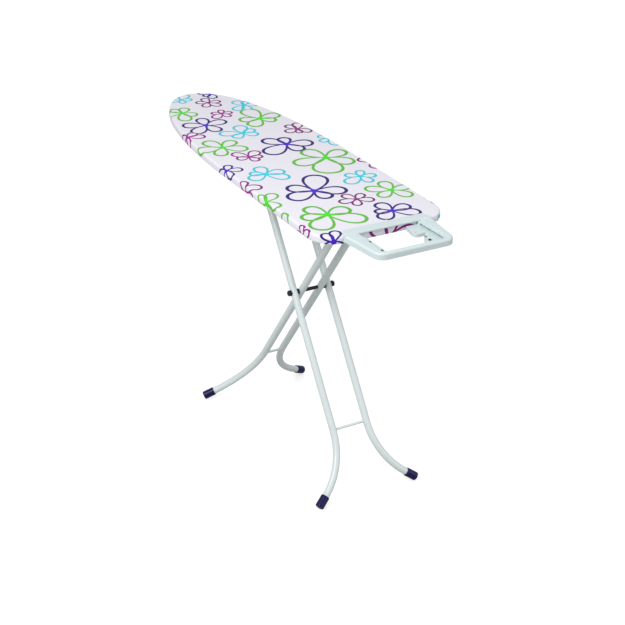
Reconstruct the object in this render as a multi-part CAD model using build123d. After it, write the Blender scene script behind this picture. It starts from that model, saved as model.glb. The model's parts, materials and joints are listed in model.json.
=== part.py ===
from build123d import *
from math import atan, cos, radians, sin, sqrt, tan
import os

# Folding ironing board with an iron rest. Millimetres.
# Frame: +Z up, floor at Z = 0, +X towards the iron rest, Y across the board.
# X = 0 is the middle of the overall length.

# ---- driving dimensions: the board ----
COVER_TOP = 894.0           # ironing surface above the floor, at working height
BOARD_REAR = 550.0          # square end of the covered board
NOSE_TIP = -700.0           # rounded end of the covered board
HALF_WIDTH = 208.0          # half of the covered board's width
STRAIGHT_END = 0.0          # where the parallel sides end and the nose begins
CORNER_R = 75.0             # plan radius of the two rear corners
NOSE_PULL = (-420.0, 130.0)  # nose curve: X of the first control point, Y of the second
NOSE_EASE = 1.06            # keeps a nested nose curve at an even distance from the outer one
COVER_T = 2.0               # woven cover
COVER_DEPTH = 22.0          # height of the cover's skirt
HEM_WIDTH = 8.0             # cover turned in under the rim
PAD_T = 6.0
PANEL_T = 1.2
RIM_T = 1.2
RIM_DEPTH = 10.2
RIM_FLANGE = 14.0
SOFT_GAP = 0.3              # clearance round each soft piece
COVER_EDGE_R = 5.0
PAD_EDGE_R = 3.0
STRAP_DENT = 0.6            # depth that the rest's strap presses the cover down
SLOT_WIDTH = 12.0           # steam slots in the top panel
SLOT_PITCH = 25.0
SLOT_ROWS = [(470, 110, 6), (250, 180, 7), (30, 180, 7), (-190, 180, 6), (-410, 180, 3)]

# ---- driving dimensions: the legs ----
PIVOT_X = 148.0
PIVOT_Z = 531.0
LEG_TOP_Z = 855.0           # height of both top axes
LEG_SLOPE = 1.411           # rise over run of each leg
TUBE_R = 11.0
TUBE_WALL = 1.2
OUTER_Y = 59.0              # half spacing of the outer leg's tubes
INNER_Y = 33.0              # half spacing of the inner leg's tubes
TOP_OVERHANG = 8.0          # tube left beyond its top axis
PIN_R = 4.0                 # hinge pin and pivot axle
BAR_R = 5.0                 # slide bar
RUNNING = 0.05              # radial clearance of a turning fit
SIDE_GAP = 0.2              # clearance beside a washer or sleeve
END_GAP = 0.3               # clearance behind the axle's end caps
WASHER_R = 9.0
PIVOT_SLEEVE_R = 5.5
HINGE_SLEEVE_R = 6.5
PIVOT_CAP_T = 10.0
PIVOT_CAP_EDGE = 4.0
AXLE_GRIP = 4.7             # axle inside its end cap
OUTER_BEND_FROM = 435.0     # distance below the pivot where the foot starts to bend
INNER_BEND_FROM = 394.0
OUTER_BEND_DEG = 50.0
INNER_BEND_DEG = 58.0
FOOT_STRAIGHT = 34.0        # straight end of the tube, which the cap grips
WIRE_R = 4.0
OUTER_WIRE_Z = 179.0
INNER_WIRE_Z = 199.0

# ---- driving dimensions: the foot caps ----
CAP_R = 13.5
CAP_NOSE = 4.0
CAP_EDGE = 3.5
CAP_FLAT = 0.5              # worn flat where a cap meets the floor
CAP_EASE = 0.02             # keeps the cap's socket clear of the bent tube

# ---- driving dimensions: the parts under the board ----
BRACE_X = (-445.0, -40.0)   # the braces that carry the rails
BRACE_WIDTH = 30.0
HINGE_BRACE_WIDTH = 70.0
BRACE_T = 1.5
RAIL_X = (-462.0, -22.0)
RAIL_Y = (73.0, 89.5)       # open side and web of the guide rail
RAIL_T = 1.5
RAIL_BOTTOM = 845.0
SHOE_HALF = 16.0
SHOE_GAP = 0.5              # running clearance of a shoe in its rail
RIVET_R = 2.0
RIVET_HEAD_R = 4.0
RIVET_HEAD_T = 1.6
EAR_Y = (44.5, 47.5)
EAR_HALF = 22.0
EAR_FLANGE_Y = 72.0
EAR_RIVET_Y = 61.0
EAR_RIVET_X = 12.0
PIN_HEAD_R = 7.0
RACK_T = 3.0
RACK_FOOT = 863.0           # lower edge of the height rack
RACK_PITCH = 28.0
RACK_FLANGE_Y = 10.0
NOTCH_DEPTH = 4.5
NOTCH_WIDTH = 10.0

# ---- driving dimensions: the height lever ----
PAWL_REACH = 26.0           # from the slide bar back to the pawl
PAWL_CLEAR = 0.5            # below the rack's teeth, so that the fold can run past them
PAWL_T = 6.0
LEVER_HALF = 12.0
CHEEK_T = 2.0
GRIP_REACH = 128.0          # from the slide bar forward to the end of the cheeks
GRIP_LENGTH = 54.0
GRIP_HALF = 17.0
GRIP_Z = (-29.0, -15.0)     # below the slide bar's axis
ARM_Z = (-26.0, -18.0)
SPRING_WIRE_R = 0.8
SPRING_PITCH = 2.6
SPRING_TURNS = 5

# ---- driving dimensions: the iron rest ----
REST_BACK = 522.0
REST_OUT = 700.0
REST_TOP = 899.0
RAIL_TOP_Z = 897.0
REST_BOTTOM = 878.0
REST_BACK_Y = 139.0         # half width of the rest where it leaves the board
REST_OUT_Y = 121.0          # half width of the rest at its outer bar
WINDOW_X = (556.0, 683.0)
WINDOW_Y = (95.0, 100.0)    # half width of the window at its two ends
REST_CORNER_R = 30.0
REST_WALL = 3.0
REST_EDGE_R = 6.0
REST_STEP = (9.0, 2.5)      # width and depth of the stepped lip round the window
STRAP_REACH = 34.0          # strap over the end of the board
STRAP_EDGE_R = 2.0
WINDOW_CORNER_R = 12.0
LEDGE_Z = (882.0, 885.0)    # ledge inside each side rail, which the screws pass through
LEDGE_LIP = (875.0, 2.5)    # foot and thickness of the ledge's turned-down lip
LEDGE_VIEW = (564.0, 672.0)  # the rails' inner walls are open above the ledge between these
LIP_FOOT = 891.0            # foot of the inner wall's lip above that opening
LUG_AT = (599, 61)          # lug with the eye for the cord holder
LUG_R = 13.0
EYE_R = 4.0
WEB_SLOT = (656, 104)
BRACKET_T = 2.0
SCREW_R = 2.5
SCREW_HEAD_R = 4.5
SCREW_HEAD_T = 2.4
SPACER_R = 5.0
REST_SCREWS = [(598, 105.5), (658, 65), (597, -87), (658, -87)]
RIM_SCREWS = [(535, 112), (535, -112)]

# ---- worked out ----
LEG_ANGLE = atan(LEG_SLOPE)
LEG_C = cos(LEG_ANGLE)
LEG_S = sin(LEG_ANGLE)
UPPER_ARM = (LEG_TOP_Z - PIVOT_Z) / LEG_S
HINGE_X = PIVOT_X + UPPER_ARM * LEG_C
SLIDE_X = PIVOT_X - UPPER_ARM * LEG_C
PAWL_X = SLIDE_X + PAWL_REACH
PAWL_TIP = RACK_FOOT - PAWL_CLEAR
RACK_RIVETS = [(BRACE_X[0], 0), (BRACE_X[1], 0)]
EAR_RIVETS = [(HINGE_X + dx, y) for dx in (-EAR_RIVET_X, EAR_RIVET_X) for y in (-EAR_RIVET_Y, EAR_RIVET_Y)]
COVER_BOTTOM = COVER_TOP - COVER_DEPTH
PAD_TOP = COVER_TOP - COVER_T - SOFT_GAP
PANEL_TOP = PAD_TOP - PAD_T - SOFT_GAP
RIM_TOP = PANEL_TOP - PANEL_T
RIM_BOTTOM = RIM_TOP - RIM_DEPTH
BRACE_BOTTOM = RIM_BOTTOM - BRACE_T
RIM_INSET = COVER_T + SOFT_GAP + 1.0
BRACKET_Z = (COVER_BOTTOM - SOFT_GAP - BRACKET_T, COVER_BOTTOM - SOFT_GAP)
SIDES = {"left": -1, "right": 1}


def save(name, shape):
    shape.label = name
    export_step(shape, f"parts/{name}.step")


def block(x, y, z):
    """A box given by its low and high X, Y and Z."""
    size = (x[1] - x[0], y[1] - y[0], z[1] - z[0])
    middle = ((x[0] + x[1]) / 2, (y[0] + y[1]) / 2, (z[0] + z[1]) / 2)
    return Pos(*middle) * Box(*size)


def rod_y(radius, y, x, z):
    """A round bar along Y from y[0] to y[1]."""
    middle = (y[0] + y[1]) / 2
    return Pos(x, middle, z) * Rot(90, 0, 0) * Cylinder(radius, y[1] - y[0])


def rod_z(radius, x, y, z):
    """A round bar along Z from z[0] to z[1]."""
    return Pos(x, y, (z[0] + z[1]) / 2) * Cylinder(radius, z[1] - z[0])


def mirrored(side, span):
    """A Y span on the right, moved to the given side and sorted."""
    return tuple(sorted((side * span[0], side * span[1])))


# ---- board ----
def board_face(inset):
    """Plan of the board, moved in by inset from the cover's outside."""
    half = HALF_WIDTH - inset
    rear = BOARD_REAR - inset
    tip = NOSE_TIP + inset
    corner_x = BOARD_REAR - CORNER_R
    corner_y = HALF_WIDTH - CORNER_R
    nose_y = NOSE_PULL[1] - NOSE_EASE * inset
    edges = [Line((rear, -corner_y), (rear, corner_y))]
    for side in (1, -1):
        start = 0 if side == 1 else -90
        edges.append(CenterArc((corner_x, side * corner_y), CORNER_R - inset, start, 90))
        edges.append(Line((STRAIGHT_END, side * half), (corner_x, side * half)))
        edges.append(Bezier(
            (STRAIGHT_END, side * half),
            (NOSE_PULL[0], side * half),
            (tip, side * nose_y),
            (tip, 0),
        ))
    return make_face(edges)


def board_slab(inset, z):
    """The board's plan between two heights."""
    return extrude(Pos(0, 0, z[0]) * board_face(inset), z[1] - z[0])


def make_cover():
    outer = fillet_top(board_slab(0, (COVER_BOTTOM, COVER_TOP)), COVER_EDGE_R)
    under_strap = (REST_BACK - 1, BOARD_REAR + 1)
    outer -= block(under_strap, (-HALF_WIDTH, HALF_WIDTH), (COVER_TOP - STRAP_DENT, COVER_TOP + 1))
    room = board_slab(COVER_T, (COVER_BOTTOM + COVER_T, COVER_TOP - COVER_T))
    mouth = board_slab(HEM_WIDTH, (COVER_BOTTOM - 1, COVER_BOTTOM + COVER_T))
    save("cover", outer - room - mouth)


def fillet_top(solid, radius):
    return fillet(solid.faces().sort_by(Axis.Z)[-1].edges(), radius)


def make_pad():
    slab = board_slab(RIM_INSET, (PAD_TOP - PAD_T, PAD_TOP))
    save("foam_pad", fillet_top(slab, PAD_EDGE_R))


def make_top_panel():
    """Steel top with rows of steam slots."""
    panel = board_slab(RIM_INSET, (RIM_TOP, PANEL_TOP))
    slots = []
    for x, length, lanes in SLOT_ROWS:
        for lane in range(-lanes, lanes + 1):
            slot = Pos(x, lane * SLOT_PITCH, RIM_TOP) * SlotOverall(length, SLOT_WIDTH)
            slots.append(extrude(slot, PANEL_T))
    save("top_panel", panel - slots)


def make_rim():
    """A channel that is open inwards, round the whole board."""
    depth = (RIM_BOTTOM, RIM_TOP)
    rim = board_slab(RIM_INSET, depth) - board_slab(RIM_INSET + RIM_FLANGE, depth)
    rim -= board_slab(RIM_INSET + RIM_T, (RIM_BOTTOM + RIM_T, RIM_TOP - RIM_T))
    for x, y in RIM_SCREWS:
        rim -= rod_z(SCREW_R, x, y, (RIM_BOTTOM - 1, RIM_BOTTOM + RIM_T + 1))
    save("rim_frame", rim)


def brace(x, width):
    """A channel across the board: its floor is under the rim and its lips reach the panel."""
    low = x - width / 2
    high = x + width / 2
    across = (-HALF_WIDTH, HALF_WIDTH)
    floor_z = (BRACE_BOTTOM, RIM_BOTTOM)
    floor = block((low, high), across, floor_z) & board_slab(HEM_WIDTH + 0.6, floor_z)
    lip_z = (RIM_BOTTOM, RIM_TOP)
    lips = block((low, low + BRACE_T), across, lip_z) + block((high - BRACE_T, high), across, lip_z)
    lips = lips & board_slab(RIM_INSET + RIM_FLANGE + 0.5, lip_z)
    return floor + lips


def rivet(x, y, low, high):
    """A rivet along Z that grips from low to high."""
    shank = rod_z(RIVET_R, x, y, (low, high))
    upper = fillet_top(rod_z(RIVET_HEAD_R, x, y, (high, high + RIVET_HEAD_T)), 1.2)
    lower = rod_z(RIVET_HEAD_R, x, y, (low - RIVET_HEAD_T, low))
    return shank + upper + lower


def rivet_holes(places):
    z = (BRACE_BOTTOM - 5, RIM_BOTTOM + 1)
    return [rod_z(RIVET_R, x, y, z) for x, y in places]


def rail_rivet_places(side):
    web = side * (RAIL_Y[0] + RAIL_Y[1]) / 2
    return [(BRACE_X[0], web), (BRACE_X[1], web)]


def make_braces():
    front = brace(BRACE_X[0], BRACE_WIDTH)
    middle = brace(BRACE_X[1], BRACE_WIDTH)
    hinge = brace(HINGE_X, HINGE_BRACE_WIDTH)
    carried = RACK_RIVETS + rail_rivet_places(1) + rail_rivet_places(-1)
    save("front_brace", front - rivet_holes(carried[0::2]))
    save("middle_brace", middle - rivet_holes(carried[1::2]))
    save("hinge_brace", hinge - rivet_holes(EAR_RIVETS))


def make_guide_rails():
    for word, side in SIDES.items():
        y = mirrored(side, RAIL_Y)
        rail = block(RAIL_X, y, (RAIL_BOTTOM, BRACE_BOTTOM))
        inner = mirrored(side, (RAIL_Y[0], RAIL_Y[1] - RAIL_T))
        rail -= block(RAIL_X, inner, (RAIL_BOTTOM + RAIL_T, BRACE_BOTTOM - RAIL_T))
        save(f"guide_rail_{word}", rail - rivet_holes(rail_rivet_places(side)))


def make_rack():
    """A toothed strip that the height lever's pawl stands in."""
    strip = block(RAIL_X, (-RACK_T / 2, RACK_T / 2), (RACK_FOOT, BRACE_BOTTOM))
    flange_y = (-RACK_FLANGE_Y, RACK_FLANGE_Y)
    flange = block(RAIL_X, flange_y, (BRACE_BOTTOM - RAIL_T, BRACE_BOTTOM))
    rack = strip + flange
    notch_x = PAWL_X
    while notch_x > RAIL_X[0] + 2 * RACK_PITCH:
        x = (notch_x - NOTCH_WIDTH / 2, notch_x + NOTCH_WIDTH / 2)
        rack -= block(x, (-RACK_T, RACK_T), (RACK_FOOT - 1, RACK_FOOT + NOTCH_DEPTH))
        notch_x -= RACK_PITCH
    for x, y in RACK_RIVETS:
        rack -= rod_z(RIVET_HEAD_R + 1, x, y, (RACK_FOOT - 1, BRACE_BOTTOM - RAIL_T))
    save("height_rack", rack - rivet_holes(RACK_RIVETS))


def make_rivets():
    low = BRACE_BOTTOM - RAIL_T
    places = RACK_RIVETS + rail_rivet_places(1) + rail_rivet_places(-1)
    save("rail_rivets", Compound([rivet(x, y, low, RIM_BOTTOM) for x, y in places]))
    low = BRACE_BOTTOM - (EAR_Y[1] - EAR_Y[0])
    save("hinge_rivets", Compound([rivet(x, y, low, RIM_BOTTOM) for x, y in EAR_RIVETS]))


def make_hinge():
    """Two ears under the hinge brace, and the pin that the inner leg turns on."""
    ear_t = EAR_Y[1] - EAR_Y[0]
    x = (HINGE_X - EAR_HALF, HINGE_X + EAR_HALF)
    pin_hole = rod_y(PIN_R, (-EAR_FLANGE_Y, EAR_FLANGE_Y), HINGE_X, LEG_TOP_Z)
    pin = rod_y(PIN_R, (-EAR_Y[1], EAR_Y[1]), HINGE_X, LEG_TOP_Z)
    for word, side in SIDES.items():
        y = mirrored(side, EAR_Y)
        ear = block(x, y, (LEG_TOP_Z, BRACE_BOTTOM))
        ear += rod_y(EAR_HALF, y, HINGE_X, LEG_TOP_Z) & block(x, y, (LEG_TOP_Z - 12, LEG_TOP_Z))
        flange_y = mirrored(side, (EAR_Y[0], EAR_FLANGE_Y))
        ear += block(x, flange_y, (BRACE_BOTTOM - ear_t, BRACE_BOTTOM))
        save(f"hinge_ear_{word}", ear - pin_hole - rivet_holes(EAR_RIVETS))
        pin += rod_y(PIN_HEAD_R, mirrored(side, (EAR_Y[1], EAR_Y[1] + 3)), HINGE_X, LEG_TOP_Z)
    save("hinge_pin", pin)


# ---- legs ----
def foot_end(bend):
    """Distance below the pivot where a tube ends, so that its cap just meets the floor."""
    drop = cos(bend) * LEG_S
    ring = CAP_R - CAP_EDGE
    height = (CAP_NOSE - CAP_EDGE) * drop + ring * sqrt(1 - drop ** 2) + CAP_EDGE - CAP_FLAT
    return (PIVOT_Z - height) / LEG_S


def leg_path(direction, side, spacing, bend_from, bend_deg):
    """Centre line of one leg tube: down the leg, then out to the side in the leg's plane."""
    bend = radians(bend_deg)
    end = foot_end(bend)
    radius = (end - bend_from - FOOT_STRAIGHT * cos(bend)) / sin(bend)
    reach = radius * tan(bend / 2)
    corner = (bend_from + reach, side * spacing)
    run = reach + FOOT_STRAIGHT
    foot = (corner[0] + run * cos(bend), corner[1] + side * run * sin(bend))
    top = (-UPPER_ARM - TOP_OVERHANG, side * spacing)
    origin = Vector(PIVOT_X, 0, PIVOT_Z)
    along = Vector(direction * LEG_C, 0, -LEG_S)
    points = [origin + along * u + Vector(0, v, 0) for u, v in (top, corner, foot)]
    return FilletPolyline(*points, radius=radius)


def leg_tube(path, y, top_x, top_hole, pivot_hole):
    """Hollow tube along a leg's centre line, drilled for its two axes."""
    start = Plane(origin=path @ 0, z_dir=path % 0)
    ring = start * (Circle(TUBE_R) - Circle(TUBE_R - TUBE_WALL))
    tube = sweep(ring, path=path)
    span = (y - TUBE_R - 2, y + TUBE_R + 2)
    tube -= rod_y(top_hole, span, top_x, LEG_TOP_Z)
    tube -= rod_y(pivot_hole, span, PIVOT_X, PIVOT_Z)
    return tube


def foot_cap(path):
    """Moulded cap over a tube's end, with a small flat on the floor."""
    seat = Plane(origin=path @ 1, z_dir=path % 1)
    length = FOOT_STRAIGHT + CAP_NOSE
    body = Pos(0, 0, CAP_NOSE - length / 2) * Cylinder(CAP_R, length)
    body = fillet_top(body, CAP_EDGE)
    body = chamfer(body.faces().sort_by(Axis.Z)[0].edges(), 1.0)
    body -= Pos(0, 0, -FOOT_STRAIGHT / 2) * Cylinder(TUBE_R + CAP_EASE, FOOT_STRAIGHT)
    cap = seat * body
    floor_cut = block((-1000, 1000), (-500, 500), (-20, 0))
    return cap - floor_cut


def leg_wire(direction, spacing, z):
    """Round cross wire between a leg's two tubes, coped to them."""
    x = PIVOT_X + direction * (PIVOT_Z - z) / LEG_SLOPE
    wire = rod_y(WIRE_R, (-spacing, spacing), x, z)
    for side in (-1, 1):
        axis = Plane(origin=(x, side * spacing, z), z_dir=(direction * LEG_C, 0, -LEG_S))
        wire -= axis * Cylinder(TUBE_R, 60)
    return wire


def top_plug(path):
    """Moulded disc that closes the top of a tube."""
    seat = Plane(origin=path @ 0, z_dir=-(path % 0))
    head = Pos(0, 0, 0.75) * Cylinder(TUBE_R - 0.2, 1.5)
    stem = Pos(0, 0, -1.2) * Cylinder(TUBE_R - TUBE_WALL, 2.4)
    return seat * (head + stem)


def make_leg(name, direction, spacing, bend_from, bend_deg, top_x, top_hole, pivot_hole, wire_z):
    plugs = []
    for word, side in SIDES.items():
        path = leg_path(direction, side, spacing, bend_from, bend_deg)
        tube = leg_tube(path, side * spacing, top_x, top_hole, pivot_hole)
        save(f"{name}_tube_{word}", tube)
        save(f"{name}_foot_cap_{word}", foot_cap(path))
        plugs.append(top_plug(path))
        foot = path @ 1
        print(name, word, "tube length", round(path.length, 1), "foot", [round(v, 1) for v in foot])
    save(f"{name}_top_plugs", Compound(plugs))
    save(f"{name}_cross_wire", leg_wire(direction, spacing, wire_z))


def make_pivot():
    """Axle through all four tubes, with the sleeve, washers and end caps on it."""
    reach = OUTER_Y + TUBE_R + END_GAP + AXLE_GRIP
    save("pivot_axle", rod_y(PIN_R, (-reach, reach), PIVOT_X, PIVOT_Z))
    inside = INNER_Y - TUBE_R - SIDE_GAP
    across = (-inside, inside)
    sleeve = rod_y(PIVOT_SLEEVE_R, across, PIVOT_X, PIVOT_Z)
    save("pivot_sleeve", sleeve - rod_y(PIN_R, across, PIVOT_X, PIVOT_Z))
    hinge_sleeve = rod_y(HINGE_SLEEVE_R, across, HINGE_X, LEG_TOP_Z)
    hinge_sleeve -= rod_y(PIN_R + RUNNING, across, HINGE_X, LEG_TOP_Z)
    save("hinge_sleeve", hinge_sleeve)
    for word, side in SIDES.items():
        y = mirrored(side, (INNER_Y + TUBE_R + SIDE_GAP, OUTER_Y - TUBE_R - SIDE_GAP))
        washer = rod_y(WASHER_R, y, PIVOT_X, PIVOT_Z) - rod_y(PIN_R, y, PIVOT_X, PIVOT_Z)
        save(f"pivot_washer_{word}", washer)
        save(f"pivot_cap_{word}", pivot_cap(side))


def pivot_cap(side):
    """Domed push-on cap over one end of the axle."""
    start = OUTER_Y + TUBE_R + END_GAP
    cap = Pos(0, 0, PIVOT_CAP_T / 2) * Cylinder(WASHER_R, PIVOT_CAP_T)
    cap = fillet_top(cap, PIVOT_CAP_EDGE)
    cap -= Pos(0, 0, AXLE_GRIP / 2) * Cylinder(PIN_R, AXLE_GRIP)
    seat = Plane(origin=(PIVOT_X, side * start, PIVOT_Z), z_dir=(0, side, 0))
    return seat * cap


# ---- sliding carriage and height lever ----
def make_carriage():
    bar_end = RAIL_Y[1] - RAIL_T - 4.0
    save("slide_bar", rod_y(BAR_R, (-bar_end, bar_end), SLIDE_X, LEG_TOP_Z))
    low = RAIL_BOTTOM + RAIL_T + SHOE_GAP
    high = BRACE_BOTTOM - RAIL_T - SHOE_GAP
    for word, side in SIDES.items():
        y = mirrored(side, (RAIL_Y[0] + 1.0, RAIL_Y[1] - RAIL_T - 0.7))
        shoe = block((SLIDE_X - SHOE_HALF, SLIDE_X + SHOE_HALF), y, (low, high))
        shoe = fillet(shoe.edges().filter_by(Axis.Y), 3)
        shoe -= rod_y(BAR_R, mirrored(side, (RAIL_Y[0], bar_end)), SLIDE_X, LEG_TOP_Z)
        save(f"slide_shoe_{word}", shoe)
    save("bar_clips", Compound([bar_clip(-1), bar_clip(1)]))


def bar_clip(side):
    """Spring washer that keeps an outer tube in its place on the bar."""
    inside = OUTER_Y - TUBE_R
    y = mirrored(side, (inside - 1.6, inside - 0.4))
    return rod_y(8, y, SLIDE_X, LEG_TOP_Z) - rod_y(BAR_R, y, SLIDE_X, LEG_TOP_Z)


def lever_cheek(y):
    """Side plate of the lever: pawl behind the bar, arm in front of it."""
    below = LEG_TOP_Z + ARM_Z[0]
    above = LEG_TOP_Z + ARM_Z[1]
    outline = [
        (PAWL_X - PAWL_T / 2, PAWL_TIP),
        (PAWL_X + PAWL_T / 2, PAWL_TIP),
        (PAWL_X + PAWL_T / 2 + 2, LEG_TOP_Z - 4),
        (SLIDE_X + 8, LEG_TOP_Z - 12),
        (SLIDE_X - 40, below),
        (SLIDE_X - GRIP_REACH, below),
        (SLIDE_X - GRIP_REACH, above),
        (SLIDE_X - 44, above),
        (SLIDE_X - 10, LEG_TOP_Z + 6),
        (SLIDE_X + 10, LEG_TOP_Z + 6),
        (PAWL_X - PAWL_T / 2 - 2, LEG_TOP_Z + 5),
    ]
    face = Plane.XZ * make_face(Polyline(*outline, close=True))
    return Pos(0, y[1], 0) * extrude(face, y[1] - y[0])


def make_lever():
    """Two cheeks joined by a pawl bar and a cross strip, with a moulded grip."""
    cheeks = [(LEVER_HALF - CHEEK_T, LEVER_HALF), (-LEVER_HALF, CHEEK_T - LEVER_HALF)]
    across = (-LEVER_HALF, LEVER_HALF)
    lever = lever_cheek(cheeks[0]) + lever_cheek(cheeks[1])
    lever += block((PAWL_X - PAWL_T / 2, PAWL_X + PAWL_T / 2), across, (PAWL_TIP - PAWL_T, PAWL_TIP))
    strip_z = (LEG_TOP_Z + ARM_Z[0], LEG_TOP_Z + ARM_Z[0] + CHEEK_T)
    lever += block((SLIDE_X - 70, SLIDE_X - 50), across, strip_z)
    save("height_lever", lever - rod_y(BAR_R + RUNNING, across, SLIDE_X, LEG_TOP_Z))
    end = SLIDE_X - GRIP_REACH
    grip_z = (LEG_TOP_Z + GRIP_Z[0], LEG_TOP_Z + GRIP_Z[1])
    grip = block((end - 10, end - 10 + GRIP_LENGTH), (-GRIP_HALF, GRIP_HALF), grip_z)
    grip = fillet(grip.edges(), 5)
    for y in cheeks:
        grip -= block((end, SLIDE_X), y, (LEG_TOP_Z + ARM_Z[0], LEG_TOP_Z + ARM_Z[1]))
    save("lever_grip", grip)


def make_lever_spring():
    """Torsion spring coiled round the bar between the lever's cheeks."""
    rise = SPRING_TURNS * SPRING_PITCH
    helix = Helix(pitch=SPRING_PITCH, height=rise, radius=BAR_R + 2.2)
    start = Plane(origin=helix @ 0, z_dir=helix % 0)
    coil = sweep(start * Circle(SPRING_WIRE_R), path=helix, is_frenet=True)
    save("lever_spring", Pos(SLIDE_X, -rise / 2, LEG_TOP_Z) * Rot(-90, 0, 0) * coil)


# ---- iron rest ----
def rest_outline(inset):
    """Plan of the iron rest: a trapezoid with rounded outer corners."""
    back = REST_BACK + inset
    shoulder = REST_BACK + 30
    out = REST_OUT - inset
    half = [(back, REST_BACK_Y - 8 - inset), (shoulder, REST_BACK_Y - inset), (out, REST_OUT_Y - inset)]
    corners = [(x, -y) for x, y in half] + half[::-1]
    face = make_face(Polyline(*corners, close=True))
    face = fillet(face.vertices().sort_by(Axis.X)[-2:], REST_CORNER_R - inset)
    return fillet(face.vertices().sort_by(Axis.X)[:2], WINDOW_CORNER_R)


def window_face(inset):
    """Plan of the opening in the iron rest, made smaller by inset."""
    half = [(WINDOW_X[0] + inset, WINDOW_Y[0] - inset), (WINDOW_X[1] - inset, WINDOW_Y[1] - inset)]
    corners = [(x, -y) for x, y in half] + half[::-1]
    face = make_face(Polyline(*corners, close=True))
    return fillet(face.vertices(), WINDOW_CORNER_R)


def rest_frame():
    """The rest's outer form with its stepped window, cut back to clear the end of the board."""
    height = RAIL_TOP_Z - REST_BOTTOM
    body = fillet_top(extrude(Pos(0, 0, REST_BOTTOM) * rest_outline(0), height), REST_EDGE_R)
    body -= extrude(Pos(0, 0, REST_BOTTOM) * window_face(0), height)
    body -= extrude(Pos(0, 0, RAIL_TOP_Z - REST_STEP[1]) * window_face(-REST_STEP[0]), height)
    board_room = (REST_BOTTOM - 1, COVER_TOP + SOFT_GAP)
    body -= block((REST_BACK - 5, BOARD_REAR + 1), (-HALF_WIDTH, HALF_WIDTH), board_room)
    open_y = (-WINDOW_Y[0], WINDOW_Y[0])
    return body - block((BOARD_REAR, WINDOW_X[0] + WINDOW_CORNER_R), open_y, (REST_BOTTOM - 1, RAIL_TOP_Z))


def rest_strap():
    """The flat strap that lies over the end of the cover."""
    plan = rest_outline(0) & (Pos(REST_BACK + STRAP_REACH / 2, 0) * Rectangle(STRAP_REACH, 2 * HALF_WIDTH))
    strap = extrude(Pos(0, 0, COVER_TOP + SOFT_GAP) * plan, REST_TOP - COVER_TOP - SOFT_GAP)
    return fillet_top(strap, STRAP_EDGE_R)


def rest_room():
    """The space inside the rest's walls, open below, and the side rails' openings to the window."""
    hollow = rest_outline(REST_WALL) - window_face(-REST_WALL)
    low = REST_BOTTOM - 1
    room = extrude(Pos(0, 0, low) * hollow, RAIL_TOP_Z - REST_STEP[1] - REST_WALL - low)
    behind = (REST_BACK, BOARD_REAR + 1 + REST_WALL)
    room -= block(behind, (-HALF_WIDTH, HALF_WIDTH), (low - 1, REST_TOP))
    for side in (-1, 1):
        y = mirrored(side, (WINDOW_Y[0] - 5, WINDOW_Y[1] + REST_WALL + 1))
        room += block(LEDGE_VIEW, y, (LEDGE_Z[1], LIP_FOOT))
    return room


def ledge_face(side):
    """Plan of the ledge inside one side rail. The right one has a lug and a corner web."""
    back = BOARD_REAR + 3
    out = WINDOW_X[1] + 1
    if side < 0:
        return make_face(Polyline((back, -78), (out, -78), (out, -120), (560, -134), (back, -130), close=True))
    x, y = LUG_AT
    arm = make_face(Polyline((back, 57), (x - 6, y - 11.5), (x + LUG_R, y), (611, 82), (back, 90), close=True))
    web = make_face(Polyline((back, 80), (611, 82), (618, 86), (651, 59), (667, 40), (out, 24),
                             (out, 120), (560, 134), (back, 130), close=True))
    return arm + web + Pos(x, y) * Circle(LUG_R)


def rest_ledge(side):
    """A ledge with a turned-down lip along its free edge, drilled for its screws, eye and slot."""
    face = ledge_face(side)
    ledge = extrude(Pos(0, 0, LEDGE_Z[0]) * face, LEDGE_Z[1] - LEDGE_Z[0])
    foot, thickness = LEDGE_LIP
    lip = extrude(Pos(0, 0, foot) * face, LEDGE_Z[0] - foot)
    lip -= extrude(Pos(0, 0, foot) * offset(face, -thickness), LEDGE_Z[0] - foot)
    ledge += lip & block((BOARD_REAR + 5, WINDOW_X[1]), (-WINDOW_Y[0], WINDOW_Y[0]), (foot, LEDGE_Z[0]))
    if side > 0:
        ledge -= rod_z(EYE_R, *LUG_AT, LEDGE_Z)
        ledge -= extrude(Pos(*WEB_SLOT, LEDGE_Z[0]) * Rot(0, 0, 60) * SlotOverall(16, 5), REST_WALL)
    for x, y in REST_SCREWS:
        ledge -= rod_z(SCREW_R, x, y, LEDGE_Z)
    return ledge


def make_iron_rest():
    """Moulded frame: a strap over the board's end, two side rails with ledges and an outer bar."""
    rest = rest_frame() + rest_strap() - rest_room()
    rest += rest_ledge(-1)
    rest += rest_ledge(1)
    save("iron_rest", rest)


def make_rest_brackets():
    """Steel plates from under the board's rim to the rest's ledges."""
    z = BRACKET_Z
    left = [(505, -100), (505, -128), (560, -128), (668, -98), (668, -76), (560, -84)]
    right = [(505, 100), (505, 128), (560, 128), (612, 112), (670, 72), (668, 56), (652, 52), (592, 93), (545, 99)]
    for word, outline in {"left": left, "right": right}.items():
        plate = extrude(Pos(0, 0, z[0]) * make_face(Polyline(*outline, close=True)), BRACKET_T)
        for x, y in REST_SCREWS + RIM_SCREWS:
            plate -= rod_z(SCREW_R, x, y, z)
        save(f"rest_bracket_{word}", plate)


def spacer(x, y, top):
    """Round spacer that stands on a bracket and reaches up to top."""
    z = (BRACKET_Z[1], top)
    return rod_z(SPACER_R, x, y, z) - rod_z(SCREW_R, x, y, z)


def screw(x, y, under_head, tip):
    """Round-headed screw from under its head to its tip, which may be above or below."""
    way = 1 if tip > under_head else -1
    head = rod_z(SCREW_HEAD_R, x, y, tuple(sorted((under_head, under_head - way * SCREW_HEAD_T))))
    crown = head.faces().sort_by(Axis.Z)[0 if way > 0 else -1]
    shank = rod_z(SCREW_R, x, y, tuple(sorted((under_head, tip))))
    return shank + fillet(crown.edges(), 1.4)


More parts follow.
